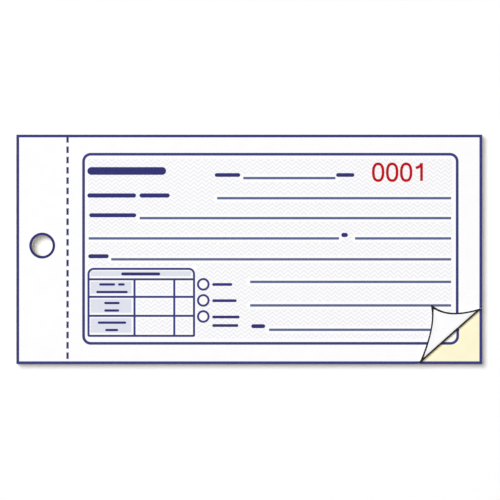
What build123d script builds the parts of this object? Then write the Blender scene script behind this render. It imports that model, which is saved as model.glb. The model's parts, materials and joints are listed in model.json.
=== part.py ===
"""Duplicate receipt book: glued stub, perforated two-part sets and a chipboard back.

The book lies on its board. +X runs from the bound stub to the free end, +Y to the head of the form,
+Z up through the sheets. The origin is under the middle of the whole book, on the surface it lies on.
All sizes are in millimetres.
"""

import math
import os

from build123d import *

# Sheet, before it is torn along the perforation
sheet_length = 142.5          # stub and receipt together
sheet_height = 70.2           # 2 3/4 inches and the trim
stub_width = 15.5             # what stays in the book; the receipt is 5 inches
original_thickness = 0.104    # white top copy, 20 lb carbonless paper
duplicate_thickness = 0.102   # canary under copy

# Book
set_count = 25                # one set is an original over its duplicate
loose_set_count = 4           # sets whose leaves are modelled as free to turn
board_thickness = 0.7         # grey chipboard
glue_thickness = 0.2          # padding compound brushed on the stub's edge

# Perforation: cuts along the fold, with paper ties left between them
cut_pitch = 3.15              # eight cuts to the inch
cut_length = 1.9
cut_width = 0.3
cuts_above_middle = 0.55      # the row of cuts sits a little towards the head

# Filing hole, punched through every stub and the board
hole_diameter = 6.35
hole_above_middle = 1.15
hole_from_edge = 7.9          # from the bound edge to the hole's middle

# Curled corner of the first original, at the free end by the foot of the form
curl_along_foot = 19.3        # from the corner to where the crest leaves the foot edge
curl_along_end = 17.3         # from the corner to where the crest leaves the end edge
curl_radius = 1.2             # of the middle of the paper
tip_lean = 0.4                # how far the flap's tip leans along the crest, towards the end edge
foot_edge_bow = 1.6           # how far the flap's two edges are drawn in
end_edge_bow = 2.1

# Places worked out from the sizes
x_bound = -(sheet_length + glue_thickness) / 2 + glue_thickness
x_free = x_bound + sheet_length
x_fold = x_bound + stub_width
x_hole = x_bound + hole_from_edge
y_foot = -sheet_height / 2
set_thickness = original_thickness + duplicate_thickness
stack_top = board_thickness + set_count * set_thickness
leaf_length = sheet_length - stub_width
cut_count = int(sheet_height / cut_pitch)


def duplicate_bottom(number):
    """Height of the underside of a set's duplicate; set 1 is on top."""
    return board_thickness + (set_count - number) * set_thickness


def original_bottom(number):
    """Height of the underside of a set's original, which lies on its duplicate."""
    return duplicate_bottom(number) + duplicate_thickness


def plate(outline, bottom, thickness):
    """A flat piece of paper or board with the given outline."""
    return Pos(0, 0, bottom) * extrude(outline, thickness)


def rectangle_from(x_start, length):
    """A rectangle as high as the sheet that starts at x_start."""
    return Pos(x_start + length / 2, 0) * Rectangle(length, sheet_height)


# Outlines that every sheet shares
filing_hole = Pos(x_hole, hole_above_middle) * Circle(hole_diameter / 2)
sheet_outline = rectangle_from(x_bound, sheet_length) - filing_hole
stub_outline = rectangle_from(x_bound, stub_width) - filing_hole
cut_places = Pos(x_fold + cut_width / 2, cuts_above_middle) * GridLocations(cut_pitch, cut_pitch, 1, cut_count)
leaf_outline = rectangle_from(x_fold, leaf_length) - cut_places * Rectangle(cut_width, cut_length)


# The curl's own frame: local X runs along the crest from the foot edge, local Y points to the corner
foot_end = Vector(x_free - curl_along_foot, y_foot)
end_end = Vector(x_free, y_foot + curl_along_end)
crest = end_end - foot_end
crest_length = crest.length
crest_angle = math.degrees(math.atan2(crest.Y, crest.X))
corner_reach = curl_along_foot * curl_along_end / crest_length


def curl_frame(along, outward):
    """A point of the plan from its place along the crest and its distance beyond it, towards the corner."""
    direction = crest.normalized()
    return foot_end + direction * along + Vector(direction.Y, -direction.X) * outward


def curled_leaf(bottom):
    """The first original: a flat leaf whose free corner rolls over a half turn into a flap lying above it."""
    thickness = original_thickness
    middle = bottom + thickness / 2
    start = -curl_radius
    wide = 2 * (leaf_length + sheet_height)

    # the flat part ends where the roll starts to lift
    beyond = Pos(*curl_frame(crest_length / 2, start)) * Rot(0, 0, crest_angle)
    beyond = beyond * Pos(0, -wide / 2) * Rectangle(wide, wide)
    flat = plate(leaf_outline - beyond, bottom, thickness)

    # the roll is a half pipe of paper along the crest, trimmed by the sheet's two edges
    ring = Circle(curl_radius + thickness / 2) - Circle(curl_radius - thickness / 2)
    outer_half = Pos(curl_radius, 0) * Rectangle(2 * curl_radius, 4 * curl_radius)
    across = Plane(
        origin=(*tuple(curl_frame(crest_length / 2, start))[:2], middle + curl_radius),
        x_dir=tuple(curl_frame(0, 1) - curl_frame(0, 0)),
        z_dir=tuple(crest.normalized()),
    )
    roll = extrude(across * (ring & outer_half), wide / 2, both=True)
    roll = roll & plate(rectangle_from(x_fold, leaf_length), bottom, 4 * curl_radius)

    # the flap keeps the length of paper that the half turn leaves over
    slope_foot = curl_along_foot / curl_along_end
    foot_corner = curl_frame(start * slope_foot, start)
    end_corner = curl_frame(crest_length - start / slope_foot, start)
    flap_reach = corner_reach - (math.pi - 2) * curl_radius
    tip = curl_frame(curl_along_foot**2 / crest_length + tip_lean, -flap_reach)
    flap_outline = make_face(
        Line(foot_corner, end_corner)
        + bowed_edge(end_corner, tip, foot_corner, end_edge_bow)
        + bowed_edge(tip, foot_corner, end_corner, foot_edge_bow)
    )
    flap = plate(flap_outline, middle + 2 * curl_radius - thickness / 2, thickness)
    return flat + roll + flap


def bowed_edge(first, last, inside, bow):
    """An arc between two points that bows by the given amount towards the side a third point is on."""
    chord = last - first
    side = Vector(-chord.Y, chord.X).normalized()
    if side.dot(inside - first) < 0:
        side = side * -1
    return ThreePointArc(first, (first + last) / 2 + side * bow, last)


def loose_leaves():
    """The torn-off part of each set that is free to turn, one piece of paper to a node."""
    leaves = {}
    for number in range(1, loose_set_count + 1):
        bottom = original_bottom(number)
        flat = plate(leaf_outline, bottom, original_thickness)
        leaves[f"original_leaf_{number:02d}"] = curled_leaf(bottom) if number == 1 else flat
        leaves[f"duplicate_leaf_{number:02d}"] = plate(
            leaf_outline, duplicate_bottom(number), duplicate_thickness
        )
    return leaves


def loose_stubs():
    """The stubs that those leaves hang from, one group of separate slips for each colour."""
    numbers = range(1, loose_set_count + 1)
    originals = [plate(stub_outline, original_bottom(n), original_thickness) for n in numbers]
    duplicates = [plate(stub_outline, duplicate_bottom(n), duplicate_thickness) for n in numbers]
    return {
        "original_stubs": Compound(originals),
        "duplicate_stubs": Compound(duplicates),
    }


def lower_sheets():
    """Whole sheets of the sets further down, one sheet to a node."""
    sheets = {}
    for number in range(loose_set_count + 1, set_count + 1):
        sheets[f"original_sheet_{number:02d}"] = plate(
            sheet_outline, original_bottom(number), original_thickness
        )
        sheets[f"duplicate_sheet_{number:02d}"] = plate(
            sheet_outline, duplicate_bottom(number), duplicate_thickness
        )
    return sheets


def binding():
    """What holds the sheets: the board under them and the film of glue on the stub's edge."""
    film = rectangle_from(x_bound - glue_thickness, glue_thickness)
    return {
        "back_board": plate(sheet_outline, 0, board_thickness),
        "padding_glue": plate(film, 0, stack_top),
    }


os.makedirs("parts", exist_ok=True)
for node, solid in {**binding(), **lower_sheets(), **loose_stubs(), **loose_leaves()}.items():
    export_step(solid, f"parts/{node}.step")

print("book", sheet_length + glue_thickness, "x", sheet_height, "x", round(stack_top, 3))
print("fold line at x", round(x_fold, 3), "and z", round(stack_top, 3))
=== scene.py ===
# %% [markdown]
# # A duplicate receipt book
#
# The book is a pad of two-part receipts: a white original over a canary duplicate, many times over, glued
# along the stub and backed with grey chipboard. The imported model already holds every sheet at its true
# size. This lesson gives the sheets their paper, prints the form on them, curls the first corner and lights
# the book.

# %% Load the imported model
import json
import math

import bpy
import numpy as np
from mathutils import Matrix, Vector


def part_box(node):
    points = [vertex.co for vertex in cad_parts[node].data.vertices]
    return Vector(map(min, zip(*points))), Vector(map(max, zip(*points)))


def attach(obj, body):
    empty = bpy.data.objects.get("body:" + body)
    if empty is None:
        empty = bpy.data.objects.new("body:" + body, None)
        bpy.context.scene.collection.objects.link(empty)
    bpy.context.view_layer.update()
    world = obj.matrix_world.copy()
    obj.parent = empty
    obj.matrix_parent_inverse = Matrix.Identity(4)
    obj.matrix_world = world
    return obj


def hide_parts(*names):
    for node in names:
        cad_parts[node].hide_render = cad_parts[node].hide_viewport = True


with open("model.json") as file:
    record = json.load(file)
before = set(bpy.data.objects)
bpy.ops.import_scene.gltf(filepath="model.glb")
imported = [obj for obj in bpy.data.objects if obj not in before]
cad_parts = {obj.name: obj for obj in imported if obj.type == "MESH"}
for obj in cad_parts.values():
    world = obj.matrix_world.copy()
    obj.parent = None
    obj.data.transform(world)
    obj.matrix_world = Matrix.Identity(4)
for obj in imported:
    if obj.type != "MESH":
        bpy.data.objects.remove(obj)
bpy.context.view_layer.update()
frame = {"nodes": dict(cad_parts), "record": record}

# %% [markdown]
# ## Sizes
#
# The sizes could be typed in again, but everything is measured from the model, so the print lands on the
# sheets wherever they are. A printer works from the bound edge and the head of the sheet, in millimetres,
# and so do the sizes below, which are called form millimetres.

# %% Read the sheet's edges from the model
MM = 0.001

sheet_low, sheet_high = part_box("original_sheet_05")
leaf_low, leaf_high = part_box("original_leaf_02")
x_bound, x_free = sheet_low.x, sheet_high.x
y_foot, y_head = sheet_low.y, sheet_high.y
x_fold = leaf_low.x
z_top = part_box("original_stubs")[1].z
paper_thickness = leaf_high.z - leaf_low.z
hole = next(mount for mount in frame["record"]["mounts"] if mount["name"] == "filing_hole")

# the same in form millimetres
sheet_length, sheet_height = (x_free - x_bound) / MM, (y_head - y_foot) / MM
stub_width = (x_fold - x_bound) / MM
print("sheet", round(sheet_length, 2), "by", round(sheet_height, 2), "mm, stub", round(stub_width, 2), "mm")
print("one sheet is", round(paper_thickness / MM, 3), "mm thick, the top at", round(z_top / MM, 2), "mm")

# %% [markdown]
# ## Colours and nodes
#
# Paint charts give sRGB values and a shader wants linear ones, so one function turns hex into linear. Nodes
# are added by one small function too: it takes the kind of node, what goes into its sockets, and its
# settings.


# %% Helpers for materials
def linear(hex_colour):
    """An sRGB hex colour as linear RGBA, by the standard curve: a straight toe, then a power of 2.4."""
    srgb = np.array([int(hex_colour[i:i + 2], 16) for i in (1, 3, 5)]) / 255
    rgb = np.where(srgb <= 0.04045, srgb / 12.92, ((srgb + 0.055) / 1.055) ** 2.4)
    return (*rgb.tolist(), 1.0)


def feed(tree, node, inputs):
    """Fills sockets from values, outputs or nodes; a node gives the first output that it has in use."""
    for socket, source in inputs.items():
        if isinstance(source, bpy.types.Node):
            source = next(output for output in source.outputs if output.enabled)
        if isinstance(source, bpy.types.NodeSocket):
            tree.links.new(source, node.inputs[socket])
        else:
            node.inputs[socket].default_value = source


def add(tree, kind, inputs=None, **settings):
    """Adds one node with its settings, and feeds its sockets."""
    node = tree.nodes.new("ShaderNode" + kind)
    for name, value in settings.items():
        setattr(node, name, value)
    feed(tree, node, inputs or {})
    return node


def new_material(name, roughness, ior):
    """A named material with a Principled shader, and the tree to add to."""
    material = bpy.data.materials.new(name)
    material.use_nodes = True
    tree = material.node_tree
    tree.nodes.clear()
    shader = add(tree, "BsdfPrincipled", {"Roughness": roughness, "IOR": ior})
    add(tree, "OutputMaterial", {"Surface": shader})
    return material, tree, shader


print("middle grey #808080 is", round(linear("#808080")[0], 3), "in linear light")

# %% [markdown]
# ## The form's frame
#
# Inside its rounded frame the form carries a pale security tint: rows of fine zigzags, a common pattern on
# receipts because a copier smears it. It keeps clear of the writing rules, the table's lines and the tick
# circles, so those are sized first, for the paper's material and the print alike.

# %% Frame, table, tick circles and rules, in form millimetres
frame_left, frame_right = 20.55, 134.85
frame_top, frame_bottom = 6.0, 63.86
table_columns = (22.06, 36.13, 48.3, 54.34)
table_rows = (41.07, 44.26, 49.63, 55.44, 61.56)
tick_across, tick_radius = 57.17, 1.62
tick_down = 45.8 + 4.92 * np.arange(3)

# each rule's place below the head, where it starts and where it ends
rules = (
    (13.3, 69.4, 97.6),
    (19.45, 61.4, 133.0),
    (25.55, 37.7, 133.0),
    (31.75, 22.1, 98.7),
    (31.75, 103.6, 133.0),
    (38.15, 29.0, 133.0),
    (45.05, 71.5, 133.0),
    (52.25, 71.5, 133.0),
    (59.7, 77.3, 133.0),
)


def plan(across, down):
    """A place on the form, in millimetres from the bound edge and the head, as x and y in metres."""
    return x_bound + np.asarray(across) * MM, y_head - np.asarray(down) * MM


print("frame", round(frame_right - frame_left, 2), "by", round(frame_bottom - frame_top, 2), "mm")

# %% [markdown]
# ## The security tint
#
# The tint is far too fine and faint to be worth a mesh, and a picture of it would blur up close, so the
# paper's material draws it. A triangle wave bends straight lines into zigzags: the wave of x is added to y
# before the lines are cut. Distances then decide where the tint shows: deep enough inside the frame, and
# not too near any printed line.

# %% Nodes that draw the tint
ZIGZAG_LENGTH, ZIGZAG_SLOPE, ZIGZAG_PITCH, ZIGZAG_LINE = 2.4, 1.0, 1.28, 0.45
TINT_MARGIN, RULE_MARGIN, TABLE_MARGIN = 1.5, 1.2, 0.9

# what the tint keeps clear of: first and last across, upper and lower down, and the margin
clear_marks = [(tick_across, tick_across, down, down, tick_radius) for down in tick_down]
clear_marks += [(first, last, down, down, RULE_MARGIN) for down, first, last in rules]
clear_marks += [(table_columns[0], table_columns[-1], down, down, TABLE_MARGIN) for down in table_rows]
clear_marks += [(x, x, table_rows[1], table_rows[-1], TABLE_MARGIN) for x in table_columns[1:]]


def depth_in_frame(tree, flat):
    """How far a point lies inside the frame: the smaller of its distances from the sides."""
    (left, right), (top, bottom) = plan([frame_left, frame_right], [frame_top, frame_bottom])
    depths = []
    for axis, low, high in (("X", left, right), ("Y", bottom, top)):
        from_middle = add(tree, "Math", {0: flat.outputs[axis], 1: (low + high) / 2}, operation="SUBTRACT")
        size = add(tree, "Math", {0: from_middle}, operation="ABSOLUTE")
        depths.append(add(tree, "Math", {0: (high - low) / 2, 1: size}, operation="SUBTRACT"))
    return add(tree, "Math", {0: depths[0], 1: depths[1]}, operation="MINIMUM")


def clear_of_marks(tree, flat):
    """One where a point is further from every printed line than that line's margin, and nought elsewhere.

    The nearest point of a straight line is the place itself, held between the line's two ends.
    """
    level = add(tree, "CombineXYZ", {0: flat.outputs["X"], 1: flat.outputs["Y"]})
    clear = 1.0
    for first, last, upper, lower, margin in clear_marks:
        (low_x, high_x), (high_y, low_y) = plan([first, last], [upper, lower])
        held = add(tree, "VectorMath", {0: level, 1: (low_x, low_y, 0)}, operation="MAXIMUM")
        nearest = add(tree, "VectorMath", {0: held, 1: (high_x, high_y, 0)}, operation="MINIMUM")
        reach = add(tree, "VectorMath", {0: level, 1: nearest}, operation="DISTANCE")
        outside = add(tree, "Math", {0: reach, 1: margin * MM}, operation="GREATER_THAN")
        clear = add(tree, "Math", {0: clear, 1: outside}, operation="MULTIPLY")
    return clear


def zigzag_lines(tree, flat):
    """One on the lines of the tint and nought between them, with sides as soft as half a line is wide."""
    half = ZIGZAG_LINE / 2 * MM
    wave = add(tree, "Math", {0: flat.outputs["X"], 1: ZIGZAG_LENGTH / 2 * MM}, operation="PINGPONG")
    bent = add(tree, "Math", {0: wave, 1: ZIGZAG_SLOPE, 2: flat.outputs["Y"]}, operation="MULTIPLY_ADD")
    off_line = add(tree, "Math", {0: bent, 1: ZIGZAG_PITCH / 2 * MM}, operation="PINGPONG")
    return add(tree, "MapRange", {0: off_line, 1: 0.5 * half, 2: 1.5 * half, 3: 1.0, 4: 0.0})


print("the tint keeps clear of", len(clear_marks), "marks")

# %% [markdown]
# ## Carbonless paper
#
# Both sheets are carbonless bond, about 0.1 mm thick. Bond is matt, with fine fibres and a faint cloudiness
# a few millimetres across, which printers call formation. Where it is cut, its layers show as fine streaks
# along the edge. One flat colour would look like plastic, so two noises let the tone drift, and the finer
# one also gives the surface its tooth.

# %% Paper material
# real fibres are finer; these are just coarse enough to show
FIBRE, CLOUD, TOOTH = 0.45, 4.0, 0.03
LAYER, LAYER_STRETCH = 0.22, 50


def paper_place(tree, place):
    """Where a point lies on the flat sheet, whether on its upper face, and whether on a cut edge.

    A flat sheet reads its own coordinates and tells its faces by the normal. A bent one has the flat place
    in an attribute, and another material on its back and edges.
    """
    if place != "object":
        return add(tree, "Attribute", attribute_name=place).outputs["Vector"], 1.0, None
    coordinates = add(tree, "TexCoord")
    normal = add(tree, "SeparateXYZ", {0: coordinates.outputs["Normal"]})
    front = add(tree, "Math", {0: normal.outputs["Z"], 1: 0.5}, operation="GREATER_THAN")
    steepness = add(tree, "Math", {0: normal.outputs["Z"]}, operation="ABSOLUTE")
    cut_edge = add(tree, "Math", {0: steepness, 1: 0.5}, operation="LESS_THAN")
    return coordinates.outputs["Object"], front, cut_edge


def paper(name, colour, shade, tint, inside=None, place="object"):
    """Bond paper with the form's tint on its upper face.

    colour and shade are the two tones that the fibres drift between, tint is the zigzags' tone, and inside
    is the tone of the sheet within the frame, where that is another. place is "object" for a flat sheet, and
    for a bent one the attribute with its flat place.
    """
    material, tree, shader = new_material(name, roughness=0.88, ior=1.45)
    spot, front, cut_edge = paper_place(tree, place)
    grain = {"Vector": spot, "Scale": 1 / (FIBRE * MM), "Detail": 4.0, "Roughness": 0.65}
    fibres = add(tree, "TexNoise", grain)
    clouds = add(tree, "TexNoise", {"Vector": spot, "Scale": 1 / (CLOUD * MM), "Detail": 2.0})
    drift = add(tree, "Math", {0: fibres, 1: clouds}, operation="MULTIPLY")
    drift = add(tree, "MapRange", {0: drift, 1: 0.12, 2: 0.42})
    ground = add(tree, "Mix", {0: drift, 6: linear(shade), 7: linear(colour)}, data_type="RGBA")

    flat = add(tree, "SeparateXYZ", {0: spot})
    depth = depth_in_frame(tree, flat)
    if inside:
        framed = add(tree, "Math", {0: depth, 1: 0.0}, operation="GREATER_THAN")
        framed = add(tree, "Math", {0: framed, 1: front}, operation="MULTIPLY")
        ground = add(tree, "Mix", {0: framed, 6: ground, 7: linear(inside)}, data_type="RGBA")
    tinted = add(tree, "Math", {0: depth, 1: TINT_MARGIN * MM}, operation="GREATER_THAN")
    for factor in (front, clear_of_marks(tree, flat), zigzag_lines(tree, flat)):
        tinted = add(tree, "Math", {0: tinted, 1: factor}, operation="MULTIPLY")
    tones = {0: tinted, 6: ground, 7: linear(tint)}
    printed = add(tree, "Mix", tones, data_type="RGBA", blend_type="MULTIPLY")

    if cut_edge:
        along = add(tree, "Mapping", {"Vector": spot, "Scale": (1 / LAYER_STRETCH, 1 / LAYER_STRETCH, 1.0)})
        layers = add(tree, "TexNoise", {"Vector": along, "Scale": 1 / (LAYER * MM), "Detail": 3.0})
        worn = add(tree, "MapRange", {0: layers, 1: 0.35, 2: 0.65, 3: 0.82, 4: 1.0})
        tones = {0: cut_edge, 6: printed, 7: worn}
        printed = add(tree, "Mix", tones, data_type="RGBA", blend_type="MULTIPLY")
    tooth = add(tree, "Bump", {"Strength": 0.12, "Distance": TOOTH * MM, "Height": fibres})
    feed(tree, shader, {"Base Color": printed, "Normal": tooth})
    return material


white_paper = paper("white_carbonless_bond", "#fefefe", "#fbfbfb", "#eeedf4")
curled_paper = paper("white_carbonless_bond_curled", "#fefefe", "#fbfbfb", "#eeedf4", place="flat_place")
paper_back = paper("white_carbonless_bond_back", "#fefefe", "#fcfcfc", "#ffffff", place="flat_place")
canary_paper = paper("canary_carbonless_bond", "#fffada", "#fdf5d0", "#f4f4f2", inside="#fcfcf6")
print("paper materials", [m.name for m in bpy.data.materials if "bond" in m.name])

# %% [markdown]
# ## Board and glue
#
# The back is unlined chipboard, pressed from mixed waste paper, so it is matt, grey-brown and full of short
# dark and pale flecks. Padding glue is a rubbery white compound that is brushed on the clamped edges and
# dries to a slightly shiny skin with brush marks along the edge. Both could be photographs, but a noise
# sized in millimetres has no seam and needs no picture.

# %% Chipboard and padding glue materials
FLECK, PULP, BRUSH = 0.5, 2.5, 0.35
BRUSH_STRETCH, RELIEF = 0.06, 0.05


def chipboard():
    """Grey board: a coarse noise mixes two greys and raises the pulp, a fine one adds flecks."""
    material, tree, shader = new_material("grey_chipboard", roughness=0.94, ior=1.4)
    spot = add(tree, "TexCoord").outputs["Object"]
    pulp = add(tree, "TexNoise", {"Vector": spot, "Scale": 1 / (PULP * MM), "Detail": 5.0})
    fleck = add(tree, "TexNoise", {"Vector": spot, "Scale": 1 / (FLECK * MM), "Detail": 2.0})
    dark = add(tree, "MapRange", {0: fleck, 1: 0.60, 2: 0.68})
    pale = add(tree, "MapRange", {0: fleck, 1: 0.36, 2: 0.30})
    base = linear("#8f877a")
    for amount, tone in ((pulp, "#a59d8f"), (dark, "#6c665c"), (pale, "#c4bdb0")):
        base = add(tree, "Mix", {0: amount, 6: base, 7: linear(tone)}, data_type="RGBA")
    bump = add(tree, "Bump", {"Strength": 0.35, "Distance": RELIEF * MM, "Height": pulp})
    feed(tree, shader, {"Base Color": base, "Normal": bump})
    return material


def padding_glue():
    """White compound: streaks that run along the edge vary its colour, shine and height."""
    material, tree, shader = new_material("padding_compound", roughness=0.42, ior=1.48)
    spot = add(tree, "TexCoord").outputs["Object"]
    along = add(tree, "Mapping", {"Vector": spot, "Scale": (1.0, BRUSH_STRETCH, 1.0)})
    streaks = add(tree, "TexNoise", {"Vector": along, "Scale": 1 / (BRUSH * MM), "Detail": 3.0})
    colour = add(tree, "Mix", {0: streaks, 6: linear("#dedcd2"), 7: linear("#f3f1ea")}, data_type="RGBA")
    shine = add(tree, "MapRange", {0: streaks, 3: 0.34, 4: 0.55})
    bump = add(tree, "Bump", {"Strength": 0.3, "Distance": RELIEF * MM, "Height": streaks})
    feed(tree, shader, {"Base Color": colour, "Roughness": shine, "Normal": bump})
    return material


board_material = chipboard()
glue_material = padding_glue()
print("board and glue", board_material.name, glue_material.name)

# %% [markdown]
# ## Inks
#
# Offset ink lies on bond as a matt film a few thousandths of a millimetre deep. It isn't quite even: the
# fibres let a little paper show through. The heavy lines and labels are a full navy, the writing rules the
# same ink screened back, the shaded cells a pale lilac, and the serial number is stamped in red by a
# numbering machine. Real screening is dots too fine to see, so each tone is simply an ink of its own here.

# %% Ink material
MOTTLE = 0.3


def ink(name, full, thin, roughness=0.6, ior=1.25):
    """Printed ink: fine noise drifts between the full film and where it lies thin."""
    material, tree, shader = new_material(name, roughness, ior)
    spot = add(tree, "TexCoord").outputs["Object"]
    mottle = add(tree, "TexNoise", {"Vector": spot, "Scale": 1 / (MOTTLE * MM), "Detail": 3.0})
    amount = add(tree, "MapRange", {0: mottle, 1: 0.35, 2: 0.70})
    colour = add(tree, "Mix", {0: amount, 6: linear(full), 7: linear(thin)}, data_type="RGBA")
    feed(tree, shader, {"Base Color": colour})
    return material


INKS = [
    ink("navy_line_ink", "#2a2c70", "#3a3d7e"),
    ink("navy_rule_ink", "#505984", "#606992"),
    ink("navy_label_ink", "#1c1d63", "#2b2c70"),
    ink("lilac_screen_ink", "#dadde9", "#e0e3ee"),
    ink("red_numbering_ink", "#b6070f", "#c4121b", ior=1.12),
    # black draws the flap's outline, and painted shade along the crest of its roll
    ink("black_edge_and_crest_shade_ink", "#151314", "#232122"),
]
LINE, RULE, LABEL, SCREEN, NUMBER, EDGE = range(len(INKS))
print("inks", [material.name for material in INKS])

# %% [markdown]
# ## Plates
#
# Paper, ink and the glue skin are all thin plates: a grid of points seen in plan, with an upper and a lower
# side. A Solidify modifier could thicken a bare sheet, but here one function makes the grid into a closed
# plate at once, with a rim wherever a cell has no neighbour. The perforation's cuts are then just cells
# that are left out.

# %% Closed plates from plan grids
SHARP_ANGLE = math.radians(40)


def plate(grid, low, high, kept=None, closed=False):
    """Points and four-sided faces of a closed plate over a plan grid.

    Each place in the grid gets a lower point at low and an upper one at high. kept says which cells are
    paper, and closed joins the last row to the first. The faces come in the order upper, lower, rim, and
    the third result says how many are of each kind.
    """
    rows, columns = grid.shape[:2]
    index = np.arange(rows * columns).reshape(rows, columns)
    if closed:
        index = np.concatenate([index, index[:1]])
    if kept is None:
        kept = np.ones((len(index) - 1, columns - 1), bool)
    under = rows * columns
    cells = np.stack([index[:-1, :-1], index[1:, :-1], index[1:, 1:], index[:-1, 1:]], -1)[kept]
    room = np.pad(kept, 1)
    if closed:
        room[0], room[-1] = room[-2], room[1]
    walls = []
    for row_step, column_step, first, second in (
        (0, -1, index[:-1, :-1], index[1:, :-1]),
        (0, 1, index[1:, 1:], index[:-1, 1:]),
        (-1, 0, index[:-1, 1:], index[:-1, :-1]),
        (1, 0, index[1:, :-1], index[1:, 1:]),
    ):
        beside = np.roll(room, (-row_step, -column_step), (0, 1))[1:-1, 1:-1]
        bare = kept & ~beside
        a, b = first[bare], second[bare]
        walls.append(np.stack([a + under, b + under, b, a], -1))
    flat = grid.reshape(-1, 2)
    sides = [np.column_stack([flat, np.broadcast_to(z, (rows, columns)).ravel()]) for z in (high, low)]
    walls = np.concatenate(walls)
    faces = np.concatenate([cells, cells[:, ::-1] + under, walls])
    return np.concatenate(sides), faces, (len(cells), len(cells), len(walls))


def make_piece(name, points, faces, materials, slots=0, flat_place=None, smooth=False):
    """A mesh object at the origin from arrays of points and four-sided faces, without unused points."""
    used, faces = np.unique(faces, return_inverse=True)
    faces = faces.reshape(-1, 4)
    points = points[used]
    mesh = bpy.data.meshes.new(name)
    mesh.vertices.add(len(points))
    mesh.vertices.foreach_set("co", points.astype(np.float32).ravel())
    mesh.loops.add(faces.size)
    mesh.loops.foreach_set("vertex_index", faces.astype(np.int32).ravel())
    mesh.polygons.add(len(faces))
    mesh.polygons.foreach_set("loop_start", np.arange(0, faces.size, 4, dtype=np.int32))
    mesh.polygons.foreach_set("material_index", np.broadcast_to(slots, len(faces)).astype(np.int32))
    mesh.polygons.foreach_set("use_smooth", np.full(len(faces), smooth))
    mesh.update(calc_edges=True)
    for material in materials:
        mesh.materials.append(material)
    if flat_place is not None:
        layer = mesh.attributes.new("flat_place", "FLOAT_VECTOR", "POINT")
        layer.data.foreach_set("vector", flat_place[used].astype(np.float32).ravel())
    if smooth:
        mesh.set_sharp_from_angle(angle=SHARP_ANGLE)
    made = bpy.data.objects.new(name, mesh)
    bpy.context.scene.collection.objects.link(made)
    return made


one_cell = np.stack(np.meshgrid([0.0, 1.0], [0.0, 1.0], indexing="ij"), -1)
print("a plate of one cell has", len(plate(one_cell, 0.0, 1.0)[1]), "faces")

# %% [markdown]
# ## The curled corner
#
# The first original's free corner is rolled over, so its white back and the canary duplicate show. It could
# be sculpted, but bending a flat sheet keeps its lengths, so the curl is a map from the flat sheet:
# distance beyond the start of the roll becomes distance along a profile, which turns on a small circle and
# then eases out into a flap. In the photo the flap is drawn in between its crest and its tip, as paper is
# when its edges spring up, so the map narrows the flap and lifts its edges a little.

# %% The crest line, from millimetres along the sheet's foot and end edges
CURL_ALONG_FOOT, CURL_ALONG_END, CURL_RADIUS = 19.5, 17.3, 1.2

curl_start = np.array([x_free - CURL_ALONG_FOOT * MM, y_foot])
curl_finish = np.array([x_free, y_foot + CURL_ALONG_END * MM])
crest_length = np.linalg.norm(curl_finish - curl_start)
crest_along = (curl_finish - curl_start) / crest_length
crest_out = np.array([crest_along[1], -crest_along[0]])
radius = CURL_RADIUS * MM
print("crest", round(crest_length / MM, 2), "mm long")

# %% The profile: its heading turns evenly on the circle, then approaches the flap's own heading
ROLL_END, FLAP_END = math.radians(170), math.radians(180)
PROFILE_LENGTH, PROFILE_POINTS = 16.0, 3000

profile_at = np.linspace(0, PROFILE_LENGTH * MM, PROFILE_POINTS)
beyond_roll = np.maximum(profile_at - radius * ROLL_END, 0)
left_to_turn = FLAP_END - ROLL_END
easing = FLAP_END - left_to_turn * np.exp(-beyond_roll / (radius * left_to_turn))
heading = np.where(beyond_roll > 0, easing, profile_at / radius)
step = np.gradient(profile_at)
profile_out = np.cumsum(np.cos(heading) * step) - radius
profile_up = np.cumsum(np.sin(heading) * step)
crest_out_most = profile_out.max()
print("the roll stands", round(profile_up.max() / MM, 2), "mm high")

# %% The curl as a map from the flat sheet
# how far the flap's tip leans and its edges lift, in millimetres, and how much its two sides draw in
TIP_LEAN, EDGE_LIFT = 0.33, 0.5
NARROW_FOOT_SIDE, NARROW_END_SIDE, SKEW_END_SIDE = 0.66, 1.11, 0.39

# the least width to divide by, in millimetres, because the sheet has none at its corner
SLIVER = 0.01

corner_place = np.array([x_free, y_foot]) - curl_start
tip_along = corner_place @ crest_along + TIP_LEAN * MM
tip_travelled = corner_place @ crest_out + radius
tip_reach = crest_out_most - np.interp(tip_travelled, profile_at, profile_out)


def sheet_edges(out):
    """Where the flat sheet's foot and end edges lie along the crest, at a distance beyond it."""
    return out * crest_along[0] / crest_along[1], crest_length - out * crest_along[1] / crest_along[0]


def drawn_in(share, narrow, skew=0.0):
    """How wide one side of the flap still is, at a share of the way from its crest to its tip.

    A straight side would narrow evenly. A parabola is taken off it, which skew pulls towards the crest.
    """
    return (1 - share) * (1 - narrow * share * (1 + skew * (0.5 - share)))


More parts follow.
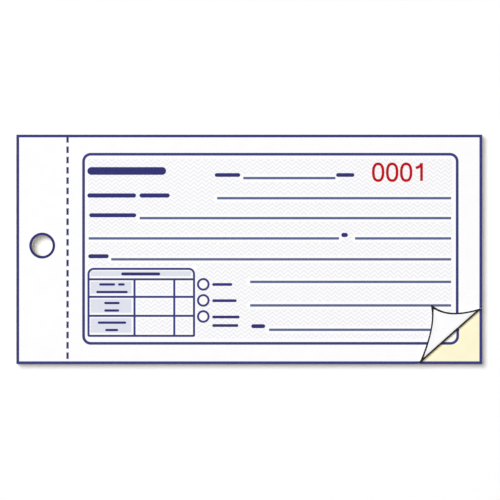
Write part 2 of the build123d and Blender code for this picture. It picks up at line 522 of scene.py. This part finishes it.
def curl(points, middle):
    """Where points of the flat first original go once its corner is curled.

    A point's distance beyond the start of the roll picks the profile's place and heading, and its height
    above the paper's middle is laid off square to that heading. On the flap, the place along the crest is
    drawn in towards the tip, and the edges rise by a parabola across the flap times another one along it.
    """
    flat = points[:, :2] - curl_start
    along, out = flat @ crest_along, flat @ crest_out
    travelled = out + radius
    height = points[:, 2] - middle
    turn = np.interp(travelled, profile_at, heading)
    reached = np.interp(travelled, profile_at, profile_out)
    new_out = reached - height * np.sin(turn)
    new_up = np.interp(travelled, profile_at, profile_up) + height * np.cos(turn)

    foot_side, end_side = sheet_edges(out)
    across = (along - foot_side) / np.maximum(end_side - foot_side, SLIVER * MM)
    share = np.clip((crest_out_most - reached) / tip_reach, 0, 1)
    foot_rise, end_rise = sheet_edges(reached)
    foot_flap = tip_along * (1 - drawn_in(share, NARROW_FOOT_SIDE))
    end_flap = tip_along + (crest_length - tip_along) * drawn_in(share, NARROW_END_SIDE, SKEW_END_SIDE)
    rising = turn < math.pi / 2
    new_foot = np.where(rising, foot_rise, foot_flap)
    new_end = np.where(rising, end_rise, end_flap)
    new_along = new_foot + across * (new_end - new_foot)
    from_middle = 2 * np.clip(across, 0, 1) - 1
    lift = np.where(rising, 0, EDGE_LIFT * MM * from_middle**2 * share * (1 - share) * 4)

    rolled = travelled > 0
    place = curl_start + new_along[:, None] * crest_along + new_out[:, None] * crest_out
    bent = np.column_stack([place, middle + new_up + lift])
    return np.where(rolled[:, None], bent, points)


print("the tip lies", round(tip_reach / MM, 2), "mm inside the crest")

# %% [markdown]
# ## The first original
#
# The leaf is one plate over a grid that is fine near the curl and coarse elsewhere; an even grid would need
# many more faces for the same roll. Its edge at the perforation has the same cuts as the solid model: short
# slots with ties of paper left between them.

# %% The leaf's grid, with the perforation's cuts left out
CUT_LENGTH, CUT_WIDTH, CUT_PITCH, CUTS_ABOVE_MIDDLE = 1.9, 0.3, 3.15, 0.55
FINE, COARSE, FINE_MARGIN = 0.2, 4.0, 3.0
FOLD_ROOM = 0.01

# grid lines that agree to this many decimals of a metre are one line
SAME_LINE = 7

cut_count = int((y_head - y_foot) / (CUT_PITCH * MM))
cut_middles = (np.arange(cut_count) - (cut_count - 1) / 2) * CUT_PITCH * MM + CUTS_ABOVE_MIDDLE * MM
cut_ends = np.concatenate([cut_middles - CUT_LENGTH / 2 * MM, cut_middles + CUT_LENGTH / 2 * MM])
fine_x = x_free - (CURL_ALONG_FOOT + FINE_MARGIN) * MM
fine_y = y_foot + (CURL_ALONG_END + FINE_MARGIN) * MM
across_lines = np.concatenate([
    [x_fold + FOLD_ROOM * MM],
    np.arange(x_fold + CUT_WIDTH * MM, fine_x, COARSE * MM),
    np.linspace(fine_x, x_free, round((x_free - fine_x) / (FINE * MM))),
])
up_lines = np.concatenate([
    np.linspace(y_foot, fine_y, round((fine_y - y_foot) / (FINE * MM))),
    cut_ends,
    [y_head],
])
up_lines = np.unique(np.round(up_lines, SAME_LINE))
leaf_grid = np.stack(np.meshgrid(across_lines, up_lines, indexing="ij"), -1)
cell_middles = (up_lines[:-1] + up_lines[1:]) / 2
in_a_cut = (np.abs(cell_middles[:, None] - cut_middles) < CUT_LENGTH / 2 * MM).any(1)
leaf_kept = np.ones((len(across_lines) - 1, len(up_lines) - 1), bool)
leaf_kept[0, in_a_cut] = False
print("leaf grid", leaf_grid.shape[:2], "with", cut_count, "cuts")

# %% The leaf itself
# room under the leaf for the ink of the sheet below
INK_ROOM = 0.022

first_low, first_high = z_top - paper_thickness + INK_ROOM * MM, z_top
first_middle = (first_low + first_high) / 2
leaf_points, leaf_faces, kinds = plate(leaf_grid, first_low, first_high, leaf_kept)
first_leaf = make_piece(
    "first_original_leaf",
    curl(leaf_points, first_middle),
    leaf_faces,
    [curled_paper, paper_back],
    slots=np.repeat([0, 1, 1], kinds),
    flat_place=leaf_points * [1, 1, 0],
    smooth=True,
)
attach(first_leaf, "original_leaf_01")
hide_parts("original_leaf_01")
print("first leaf", len(first_leaf.data.polygons), "faces")

# %% [markdown]
# ## Strokes
#
# Every printed mark is a stroke: a path with a width. Blender's own curves could draw them, but a stroke
# made as a grid, with rows along the path and a few columns across it, becomes a plate of ink like any
# other, and on the first original the same curl bends it.

# %% Strokes and paths
CORNER_POINTS = 9

# a corner's offset is never lengthened more than one over this
SHARPEST_MITRE = 0.3

# a length this little over a whole number of steps isn't given one more
STEP_ROUNDING = 1e-6


def stroke(path, width, closed=False, columns=2):
    """A plan grid along a path: each point is set off to both sides, square to the path there.

    At a corner the offset is lengthened by one over the cosine of half the turn, so the sides stay
    parallel.
    """
    path = np.asarray(path, float)
    ahead = np.roll(path, -1, 0) - path
    if not closed:
        ahead[-1] = ahead[-2]
    ahead /= np.linalg.norm(ahead, axis=1)[:, None]
    behind = np.roll(ahead, 1, 0)
    if not closed:
        behind[0] = ahead[0]
    mean = ahead + behind
    mean /= np.linalg.norm(mean, axis=1)[:, None]
    mitre = 1 / np.maximum((mean * ahead).sum(1), SHARPEST_MITRE)
    reach = mitre * np.broadcast_to(width, len(path)) / 2
    side = np.column_stack([-mean[:, 1], mean[:, 0]]) * reach[:, None]
    return path[:, None] + side[:, None] * np.linspace(-1, 1, columns)[:, None]


def straight(points, step_length):
    """A path through points, divided into steps no longer than the given length."""
    points = np.asarray(points, float)
    lengths = np.linalg.norm(np.diff(points, axis=0), axis=1)
    counts = np.maximum(np.ceil(lengths / step_length - STEP_ROUNDING).astype(int), 1)
    at = np.concatenate([i + np.arange(n) / n for i, n in enumerate(counts)] + [[len(counts)]])
    return np.column_stack([np.interp(at, np.arange(len(points)), points[:, k]) for k in (0, 1)])


def arc(centre, size, first, last, count):
    """Points on an ellipse about a centre, from one angle in degrees to another."""
    angles = np.radians(np.linspace(first, last, count))
    return np.asarray(centre) + np.column_stack([np.cos(angles), np.sin(angles)]) * size


def ring(centre, size, count):
    """Points of a closed circle about a centre, clockwise from its right."""
    return arc(centre, size, 360, 360 / count, count)


def rounded_box(left, right, top, bottom, head_radius, foot_radius):
    """A closed path round a box, in form millimetres as x right and y up, with arcs at its corners."""
    corners = (
        (right, -top, head_radius, 90, 0),
        (right, -bottom, foot_radius, 0, -90),
        (left, -bottom, foot_radius, -90, -180),
        (left, -top, head_radius, 180, 90),
    )
    path = []
    for x, y, size, first, last in corners:
        inward = np.array([-1 if x == right else 1, -1 if y == -top else 1]) * size
        path.append(arc((x, y) + inward, size, first, last, CORNER_POINTS))
    return np.concatenate(path)


print("a stroke through 3 points is a grid of", stroke([[0, 0], [1, 0], [1, 1]], 0.2).shape[:2])

# %% [markdown]
# ## The form
#
# The form has a keyline along the sheet's own edges, a rounded frame, writing rules, a small ruled table
# with shaded cells, three tick circles and a serial number. Plain round bars label its lines, cells and
# circles. All of it could be one picture, but strokes of ink stay sharp at any distance and turn with their
# leaf. Sizes are in form millimetres.

# %% The form's sizes
KEYLINE, FRAME_LINE, RULE_LINE, TABLE_LINE, TICK_LINE = 0.85, 0.84, 0.75, 0.65, 0.65
FRAME_CORNER, TABLE_CORNER, TABLE_FOOT_CORNER = 2.19, 1.58, 0.25
CELL_GAP, CELL_END_GAP = 0.68, 0.95
TICK_POINTS = 24

# each bar's place below the head, its height, where it starts and where it ends
label_bars = (
    (11.12, 2.37, 21.7, 45.8),
    (18.62, 1.3, 21.7, 36.6),
    (18.62, 1.3, 37.65, 46.9),
    (24.67, 1.225, 22.28, 36.66),
    (30.7, 1.3, 99.4, 101.4),
    (37.2, 1.225, 21.97, 28.24),
    (12.35, 1.15, 60.68, 68.48),
    (12.35, 1.15, 97.8, 103.4),
    (42.62, 0.92, 32.07, 44.0),
    (45.84, 0.725, 25.34, 30.2),
    (45.84, 0.725, 31.1, 33.14),
    (48.15, 0.725, 24.42, 34.06),
    (51.52, 0.725, 26.87, 31.61),
    (53.81, 0.725, 26.87, 31.46),
    (57.52, 0.725, 24.88, 33.6),
    (59.78, 0.725, 27.17, 31.15),
    (45.84, 0.85, 59.9, 66.05),
    (50.8, 0.85, 59.9, 67.4),
    (55.8, 0.85, 59.9, 68.3),
    (58.4, 0.85, 59.9, 67.9),
    (58.6, 1.2, 71.85, 76.1),
)
print(len(rules), "rules and", len(label_bars), "label bars")

# %% [markdown]
# ## The serial number
#
# A numbering machine stamps plain round figures with one even stroke, just under 6 mm high. A font would
# have its own idea of them, so each figure is drawn in a unit cell from arcs and straight runs, and the
# cell is then stretched to the figure's size.

# %% Figures of the numbering machine
FIGURE_WIDTH, FIGURE_HEIGHT, FIGURE_PITCH, FIGURE_LINE = 3.8, 5.95, 4.28, 0.82
NUMBER_ACROSS, NUMBER_FOOT = 108.78, 14.48

# shares of the unit cell
STEM_FOOT, STEM_TOP = -0.015, 1.045
ZERO_POINTS, ZERO_ROUNDNESS = 40, 0.85

# the nought is a circle whose sine and cosine are raised to a power, which fills out its shoulders
angles = np.linspace(0, 2 * np.pi, ZERO_POINTS, endpoint=False)
compass = np.column_stack([np.cos(angles), np.sin(angles)])
nought = np.array([0.5, 0.5]) + np.abs(compass) ** ZERO_ROUNDNESS * np.sign(compass) * 0.5

one_stem = np.array([[0.64, STEM_FOOT], [0.64, STEM_TOP]])
one_flag = arc((0.04, 1.05), (0.58, 0.28), -90, -5, count=8)
two = np.concatenate([arc((0.5, 0.72), (0.46, 0.28), 165, -30, count=18), [[0.04, 0.0], [0.98, 0.0]]])
three = np.concatenate([
    arc((0.48, 0.75), (0.42, 0.25), 150, -80, count=18),
    arc((0.48, 0.27), (0.48, 0.27), 80, -155, count=20),
])
four_stem = np.array([[0.76, STEM_FOOT], [0.76, STEM_TOP]])
four_bar = np.array([[0.76, 1.0], [0.02, 0.30], [1.0, 0.30]])
five = np.concatenate([
    [[0.90, 1.0], [0.20, 1.0], [0.12, 0.52]],
    arc((0.48, 0.32), (0.48, 0.32), 130, -150, count=20),
])
figures = ((nought,), (one_stem, one_flag), (two,), (three,), (four_stem, four_bar), (five,))


def serial_number(number):
    """The paths of a four-figure number, as x right and y up, each with whether it is closed."""
    strokes = []
    cell = np.array([FIGURE_WIDTH - FIGURE_LINE, FIGURE_HEIGHT - FIGURE_LINE])
    for place, character in enumerate(f"{number:04d}"):
        corner = np.array([NUMBER_ACROSS + place * FIGURE_PITCH, -NUMBER_FOOT]) + FIGURE_LINE / 2
        strokes += [(path * cell + corner, character == "0") for path in figures[int(character)]]
    return strokes


print("the first number takes", len(serial_number(1)), "strokes")

# %% [markdown]
# ## Printing
#
# A printer lays out one form and then runs every sheet through the press. Here too, some functions lay out
# the marks of a leaf, and another turns each stroke into a plate of ink on a sheet's upper face and joins
# them into one mesh. The first original's ink goes through the curl, with more steps and columns so that it
# hugs the roll.

# %% Bars, lines and dashes
BAR_END_POINTS = 6

# a bar's tip is this share of its height, so that no face there shrinks to nothing
BAR_TIP = 1 / 20

DASH_WIDTH, DASH_LENGTH = 0.21, 2.1


def round_bar(first, last, down, height):
    """A bar with round ends: a straight path whose width is the chord of a half circle near each end."""
    half = height / 2
    end = np.sin(np.linspace(0, np.pi / 2, BAR_END_POINTS)) * half
    across = np.concatenate([first + half - end[::-1], last - half + end])
    short = np.concatenate([end[::-1], end])
    width = 2 * np.sqrt(np.maximum(half**2 - short**2, (half * BAR_TIP) ** 2))
    return np.column_stack([across, np.full(len(across), -down)]), width


def level(down, first, last):
    """A straight path across the form, at a distance below the head."""
    return np.array([[first, -down], [last, -down]])


def upright(across, top, bottom):
    """A straight path down the form, at a distance from the bound edge."""
    return np.array([[across, -top], [across, -bottom]])


def fold_dashes(across):
    """Paths of the dashes beside the cuts of the perforation, at a distance from the bound edge."""
    downs = (y_head - cut_middles) / MM
    return [upright(across, down - DASH_LENGTH / 2, down + DASH_LENGTH / 2) for down in downs]


print("the perforation has", len(fold_dashes(stub_width)), "dashes")


# %% Lay out the form
def keyline(end):
    """The keyline's path round one part of a sheet: from the perforation out to its end, and back."""
    top, bottom = -KEYLINE / 2, KEYLINE / 2 - sheet_height
    return np.array([[stub_width, top], [end, top], [end, bottom], [stub_width, bottom]])


def edge_marks(whole):
    """The keyline along a leaf's own edges, then the dashes beside its perforation.

    A loose leaf has only its own side of each dash, and a whole sheet the full dash.
    """
    left = stub_width + (-DASH_WIDTH if whole else CUT_WIDTH)
    right = stub_width + CUT_WIDTH + DASH_WIDTH
    dashes = fold_dashes((left + right) / 2)
    marks = [(LINE, keyline(sheet_length - KEYLINE / 2), KEYLINE, False)]
    return marks + [(LINE, dash, right - left, False) for dash in dashes]


def table_marks():
    """The table's outline, rows and columns, then the shading of its head and of its first column."""
    left, right, top, head, bottom = table_columns[0], table_columns[-1], *table_rows[:2], table_rows[-1]
    outline = rounded_box(left, right, top, bottom, TABLE_CORNER, TABLE_FOOT_CORNER)
    marks = [(LINE, outline, TABLE_LINE, True)]
    marks += [(LINE, level(down, left, right), TABLE_LINE, False) for down in table_rows[1:-1]]
    marks += [(LINE, upright(across, head, bottom), TABLE_LINE, False) for across in table_columns[1:-1]]
    cells = [(left, right, top, head)]
    cells += [(left, table_columns[1], *rows) for rows in zip(table_rows[1:-1], table_rows[2:])]
    for first, last, upper, lower in cells:
        upper += CELL_GAP
        lower -= CELL_END_GAP
        path = level((upper + lower) / 2, first + CELL_GAP, last - CELL_END_GAP)
        marks.append((SCREEN, path, lower - upper, False))
    return marks


def form_marks(number):
    """The frame and what stands in it: rules, table, tick circles, label bars and serial number."""
    box = rounded_box(frame_left, frame_right, frame_top, frame_bottom, FRAME_CORNER, FRAME_CORNER)
    marks = [(LINE, box, FRAME_LINE, True)]
    marks += [(RULE, level(*rule), RULE_LINE, False) for rule in rules]
    marks += table_marks()
    for down in tick_down:
        marks.append((LINE, ring((tick_across, -down), tick_radius, TICK_POINTS), TICK_LINE, True))
    for down, height, first, last in label_bars:
        marks.append((LABEL, *round_bar(first, last, down, height), False))
    return marks + [(NUMBER, path, FIGURE_LINE, closed) for path, closed in serial_number(number)]


def leaf_marks(number, whole=False, register=0.0):
    """The marks of one receipt: (ink, path in form millimetres as x right and y up, width, closed).

    The form lies out of register to the right by the given amount, and the marks along the edges don't.
    """
    shift = [register, 0.0]
    form = [(tone, path + shift, width, closed) for tone, path, width, closed in form_marks(number)]
    return edge_marks(whole) + form


print("one receipt has", len(leaf_marks(1)), "marks")

# %% Print marks on a sheet
INK_FILM, FILM_STEP = 0.004, 0.00025
FINE_STEP, FINE_COLUMNS = 0.25, 6
PLAIN_STEP, PLAIN_COLUMNS = 20.0, 2


def print_marks(name, marks, body, surface, bend=None, film=INK_FILM):
    """One mesh of ink that stands on surface; bend maps the flat points, where it is given.

    A path is divided into steps, unless its width changes along it, and then it has its steps already. Each
    mark's film is a little deeper than the last one's, so that no two faces lie in one plane.
    """
    points, faces, slots, count = [], [], [], 0
    for order, (tone, path, width, closed) in enumerate(marks):
        beyond = (np.stack(plan(path[:, 0], -path[:, 1]), -1) - curl_start) @ crest_out
        near_roll = bend and beyond.max() > -2 * radius
        columns, step_length = (FINE_COLUMNS, FINE_STEP) if near_roll else (PLAIN_COLUMNS, PLAIN_STEP)
        if closed:
            path = straight(np.concatenate([path, path[:1]]), step_length)[:-1]
        elif not np.ndim(width):
            path = straight(path, step_length)
        grid = stroke(path, width, closed, columns)
        grid = np.stack(plan(grid[..., 0], -grid[..., 1]), -1)
        made, sides, _ = plate(grid, surface, surface + (film + FILM_STEP * order) * MM, closed=closed)
        points.append(made)
        faces.append(sides + count)
        slots.append(np.full(len(sides), tone))
        count += len(made)
    points = np.concatenate(points)
    if bend:
        points = bend(points, first_middle)
    made = make_piece(name, points, np.concatenate(faces), INKS, np.concatenate(slots))
    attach(made, body)
    return made


first_print = print_marks("print_original_01", leaf_marks(1), "original_leaf_01", first_high, curl)
print("the first original's ink has", len(first_print.data.polygons), "faces")

# %% Print the other sheets
LOOSE_SETS = 4
DUPLICATE_REGISTER = 0.15

for number in range(1, LOOSE_SETS + 1):
    for kind in ("original", "duplicate"):
        node = f"{kind}_leaf_{number:02d}"
        if node != "original_leaf_01":
            marks = leaf_marks(number, register=DUPLICATE_REGISTER if kind == "duplicate" else 0.0)
            print_marks(f"print_{kind}_{number:02d}", marks, node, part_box(node)[1].z)
print_marks("print_original_05", leaf_marks(5, whole=True), "bound_book", sheet_high.z)

# %% [markdown]
# ## The stub
#
# The stub keeps its own part of the keyline, a ring round the filing hole, and its side of the dashes along
# the perforation. It stays in the book when a leaf turns, so its ink is a piece of its own.

# %% Print the stub
HOLE_RING, RING_POINTS = 0.79, 72

hole_place = (np.array(hole["pos_m"][:2]) - [x_bound, y_head]) / MM
ring_radius = hole["dims"]["r_mm"] + HOLE_RING / 2
stub_marks = [
    (LINE, keyline(KEYLINE / 2)[::-1], KEYLINE, False),
    (LABEL, ring(hole_place, ring_radius, RING_POINTS), HOLE_RING, True),
]
stub_marks += [(LINE, dash, DASH_WIDTH, False) for dash in fold_dashes(stub_width - DASH_WIDTH / 2)]
print_marks("print_stub", stub_marks, "bound_book", z_top)
print("the stub has", len(stub_marks), "marks")

# %% [markdown]
# ## The flap's outline and painted crest shade
#
# A dark outline runs along the flap's edges and swells towards its tip. A heavier black band along the crest
# is painted shade, where the roll turns down away from the lamp. Both are strokes on the leaf's flat
# underside, and the curl turns them up with it. That is simpler than drawing them on the bent flap, and they
# can't leave the paper.

# %% Ink the flap's edges, and paint shade along the crest
FLAP_LINE, TIP_SWELL, TIP_SPREAD = 0.75, 1.5, 2.5
CREST_SHADE_WIDTH, CREST_TURN, CREST_END_GAP = 1.12, math.radians(121), 1.5
FLAP_FILM = 0.014

# the outline lies just inside the paper's two edges and swells towards the corner
flap_edge = (np.array([curl_start, [x_free, y_foot], curl_finish]) - [x_bound, y_head]) / MM
from_corner = straight(flap_edge, FINE_STEP) - flap_edge[1]
from_tip = np.linalg.norm(from_corner, axis=1)
flap_line = FLAP_LINE * (1 + TIP_SWELL * np.exp(-from_tip / TIP_SPREAD))
inward = np.isclose(from_corner, 0) * [-1, 1]
flap_path = flap_edge[1] + from_corner + inward * flap_line[:, None] / 2
kept = np.isclose(from_tip, 0) | (from_tip > flap_line / 2)

# the roll starts one radius before the crest line, and the painted crest shade lies where it has turned this
# far
crest_shift = crest_out * radius * (CREST_TURN - 1)
painted_crest_shade_path = (np.array([curl_start, curl_finish]) + crest_shift - [x_bound, y_head]) / MM
painted_crest_shade_path += np.array([crest_along, -crest_along]) * CREST_END_GAP

# the crest's black band is painted shade, where the roll turns down away from the lamp
flap_marks = [(EDGE, flap_path[kept], flap_line[kept], False), (EDGE, painted_crest_shade_path, CREST_SHADE_WIDTH, False)]
print_marks("flap_outline_and_crest_shade", flap_marks, "original_leaf_01", first_low - FLAP_FILM * MM, curl, FLAP_FILM)
print("the outline is up to", round(flap_line.max(), 2), "mm wide")

# %% [markdown]
# ## Glue skin
#
# The film on the stub's edges follows the sheets it was brushed on. A bump could fake it, but its ridges
# show in outline at the corners, so it is a plate that stands on edge: its plan is the bound face of the
# book, and its thickness drifts with the brush and thins out at the rim.

# %% The glue skin
SKIN_ROWS, SKIN_COLUMNS = 48, 220

# the thickness as shares of the film's depth: at the very rim, beyond it, and what brush and ridges add
RIM_SHARE, FULL_SHARE, BRUSH_SHARE, RIDGE_SHARE = 0.12, 0.66, 0.09, 0.05
RIM_WIDTH, SHEETS_IN_A_RIDGE = 0.35, 4

# two brush marks, in radians to a millimetre up the edge; the broad one sways and the fine one slants
BROAD, SWAY, SWAY_RATE = 2.1, 0.35, 0.21
BRISTLE, BRISTLE_START, BRISTLE_SLANT, BRISTLE_SHARE = 5.3, 0.9, 0.12, 0.6

glue_low, glue_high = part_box("padding_glue")
glue_depth = glue_high.x - glue_low.x
up = np.linspace(glue_low.z, glue_high.z, SKIN_ROWS)
along = np.linspace(glue_low.y, glue_high.y, SKIN_COLUMNS)
glue_grid = np.stack(np.meshgrid(up, along, indexing="ij"), -1)
height_mm, along_mm = glue_grid[..., 0] / MM, glue_grid[..., 1] / MM
broad = np.sin(BROAD * height_mm + SWAY * np.sin(SWAY_RATE * along_mm))
bristle = np.sin(BRISTLE * height_mm + BRISTLE_START + BRISTLE_SLANT * along_mm)
brush = broad + BRISTLE_SHARE * bristle
ridges = np.cos(2 * np.pi * height_mm / (SHEETS_IN_A_RIDGE * paper_thickness / MM))
from_rim = np.minimum(height_mm - up[0] / MM, up[-1] / MM - height_mm)
from_rim = np.minimum(from_rim, along[-1] / MM - np.abs(along_mm))
rim = np.sqrt(np.clip(from_rim / RIM_WIDTH, 0, 1))
skin = glue_depth * (RIM_SHARE + rim * (FULL_SHARE + BRUSH_SHARE * brush + RIDGE_SHARE * ridges))
skin_points, skin_faces, _ = plate(glue_grid, 0.0, skin)
skin_points = np.column_stack([glue_high.x - skin_points[:, 2], skin_points[:, 1], skin_points[:, 0]])
glue_skin = make_piece("glue_skin", skin_points, skin_faces, [glue_material], smooth=True)
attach(glue_skin, "bound_book")
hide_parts("padding_glue")
print("glue skin up to", round(float(skin.max()) / MM, 3), "mm thick")

# %% [markdown]
# ## Paper on every sheet
#
# The other sheets and the board are flat and square on the real book too. They keep the solid model's own
# meshes, which are already right, and only take on their materials.

# %% Materials of the solid model's pieces
finishes = {
    "original": white_paper,
    "duplicate": canary_paper,
    "padding": glue_material,
    "back": board_material,
}
for name, node in frame["nodes"].items():
    node.data.materials.clear()
    node.data.materials.append(finishes[name.split("_")[0]])
print("dressed", len(frame["nodes"]), "nodes")

# %% [markdown]
# ## The table
#
# The book lies on a white table. More light would bleach the paper along with the table, so the table glows
# a little instead, but only for rays that see it directly: it sheds no light on the book, and keeps its
# shadow.

# %% Table
TABLE_SIZE, TABLE_DEPTH, TABLE_GAP = 6000.0, 10.0, 0.02
TABLE_GLOW = 0.10


def seen_directly(tree):
    """One for rays from the camera, mirrors and glass, and nought for the light that a surface sheds."""
    light_path = add(tree, "LightPath")
    seen = light_path.outputs["Is Camera Ray"]
    for ray in ("Is Glossy Ray", "Is Transmission Ray"):
        seen = add(tree, "Math", {0: seen, 1: light_path.outputs[ray]}, operation="MAXIMUM")
    return seen


half_table = np.array([-0.5, 0.5]) * TABLE_SIZE * MM
table_grid = np.stack(np.meshgrid(half_table, half_table, indexing="ij"), -1)
table_points, table_faces, _ = plate(table_grid, -TABLE_DEPTH * MM, -TABLE_GAP * MM)
table_material, tree, shader = new_material("white_table", roughness=0.9, ior=1.3)
glow = add(tree, "Math", {0: seen_directly(tree), 1: TABLE_GLOW}, operation="MULTIPLY")
feed(tree, shader, {"Base Color": linear("#f4f4f4")})
feed(tree, shader, {"Emission Color": linear("#ffffff"), "Emission Strength": glow})
floor = make_piece("table", table_points, table_faces, [table_material])
print("table", TABLE_SIZE / 1000, "m wide")

# %% [markdown]
# ## Light
#
# One large soft lamp stands at the upper left, high enough that the shadow on the table is only a few
# millimetres wide. The sky fills the rest. A small lamp would draw a hard shadow, and the sky alone would
# draw hardly any.

# %% Lamp and sky
KEY_FROM, KEY_HEIGHT = math.radians(139.0), math.radians(74.4)
KEY_AWAY, KEY_SIZE, KEY_POWER = 4.0, 1.44, 127.5
SKY = 0.25

middle = np.array([(x_bound + x_free) / 2, (y_foot + y_head) / 2, z_top])
level_part = math.cos(KEY_HEIGHT)
towards = np.array([math.cos(KEY_FROM) * level_part, math.sin(KEY_FROM) * level_part, math.sin(KEY_HEIGHT)])
lamp = bpy.data.lights.new("soft_lamp", "AREA")
lamp.shape, lamp.size, lamp.energy = "DISK", KEY_SIZE, KEY_POWER
lamp_object = bpy.data.objects.new("soft_lamp", lamp)
lamp_object.location = middle + towards * KEY_AWAY
lamp_object.rotation_euler = (math.pi / 2 - KEY_HEIGHT, 0, KEY_FROM + math.pi / 2)
bpy.context.scene.collection.objects.link(lamp_object)

world = bpy.data.worlds.new("sky")
world.use_nodes = True
tree = world.node_tree
tree.nodes.clear()
strength = add(tree, "MapRange", {0: seen_directly(tree), 3: SKY, 4: 1.0})
sky = add(tree, "Background", {"Color": linear("#ffffff"), "Strength": strength})
add(tree, "OutputWorld", {"Surface": sky})
bpy.context.scene.world = world
print("lamp", [round(value, 2) for value in lamp_object.location])

# %% [markdown]
# ## Camera
#
# The camera looks straight down through a long lens, as on a copy stand, so the sheet's edges stay square.
# It is placed so that the sheet is as large as in the photo, and lies in the same place.

# %% Camera
LENS, SENSOR = 300.0, 36.0
PHOTO_SIDE_PX, PHOTO_SHEET_PX = 500, 465.8
SHEET_MIDDLE_PX = (249.3, 249.35)

pixel = (x_free - x_bound) / PHOTO_SHEET_PX
camera = bpy.data.cameras.new("copy_stand")
camera.lens, camera.sensor_width = LENS, SENSOR
camera_object = bpy.data.objects.new("copy_stand", camera)
camera_object.location = (
    middle[0] + (PHOTO_SIDE_PX / 2 - SHEET_MIDDLE_PX[0]) * pixel,
    middle[1] - (PHOTO_SIDE_PX / 2 - SHEET_MIDDLE_PX[1]) * pixel,
    z_top + PHOTO_SIDE_PX * pixel * LENS / SENSOR,
)
bpy.context.scene.collection.objects.link(camera_object)
bpy.context.scene.camera = camera_object
bpy.context.scene.view_settings.view_transform = "Standard"
print("camera", [round(value, 3) for value in camera_object.location])
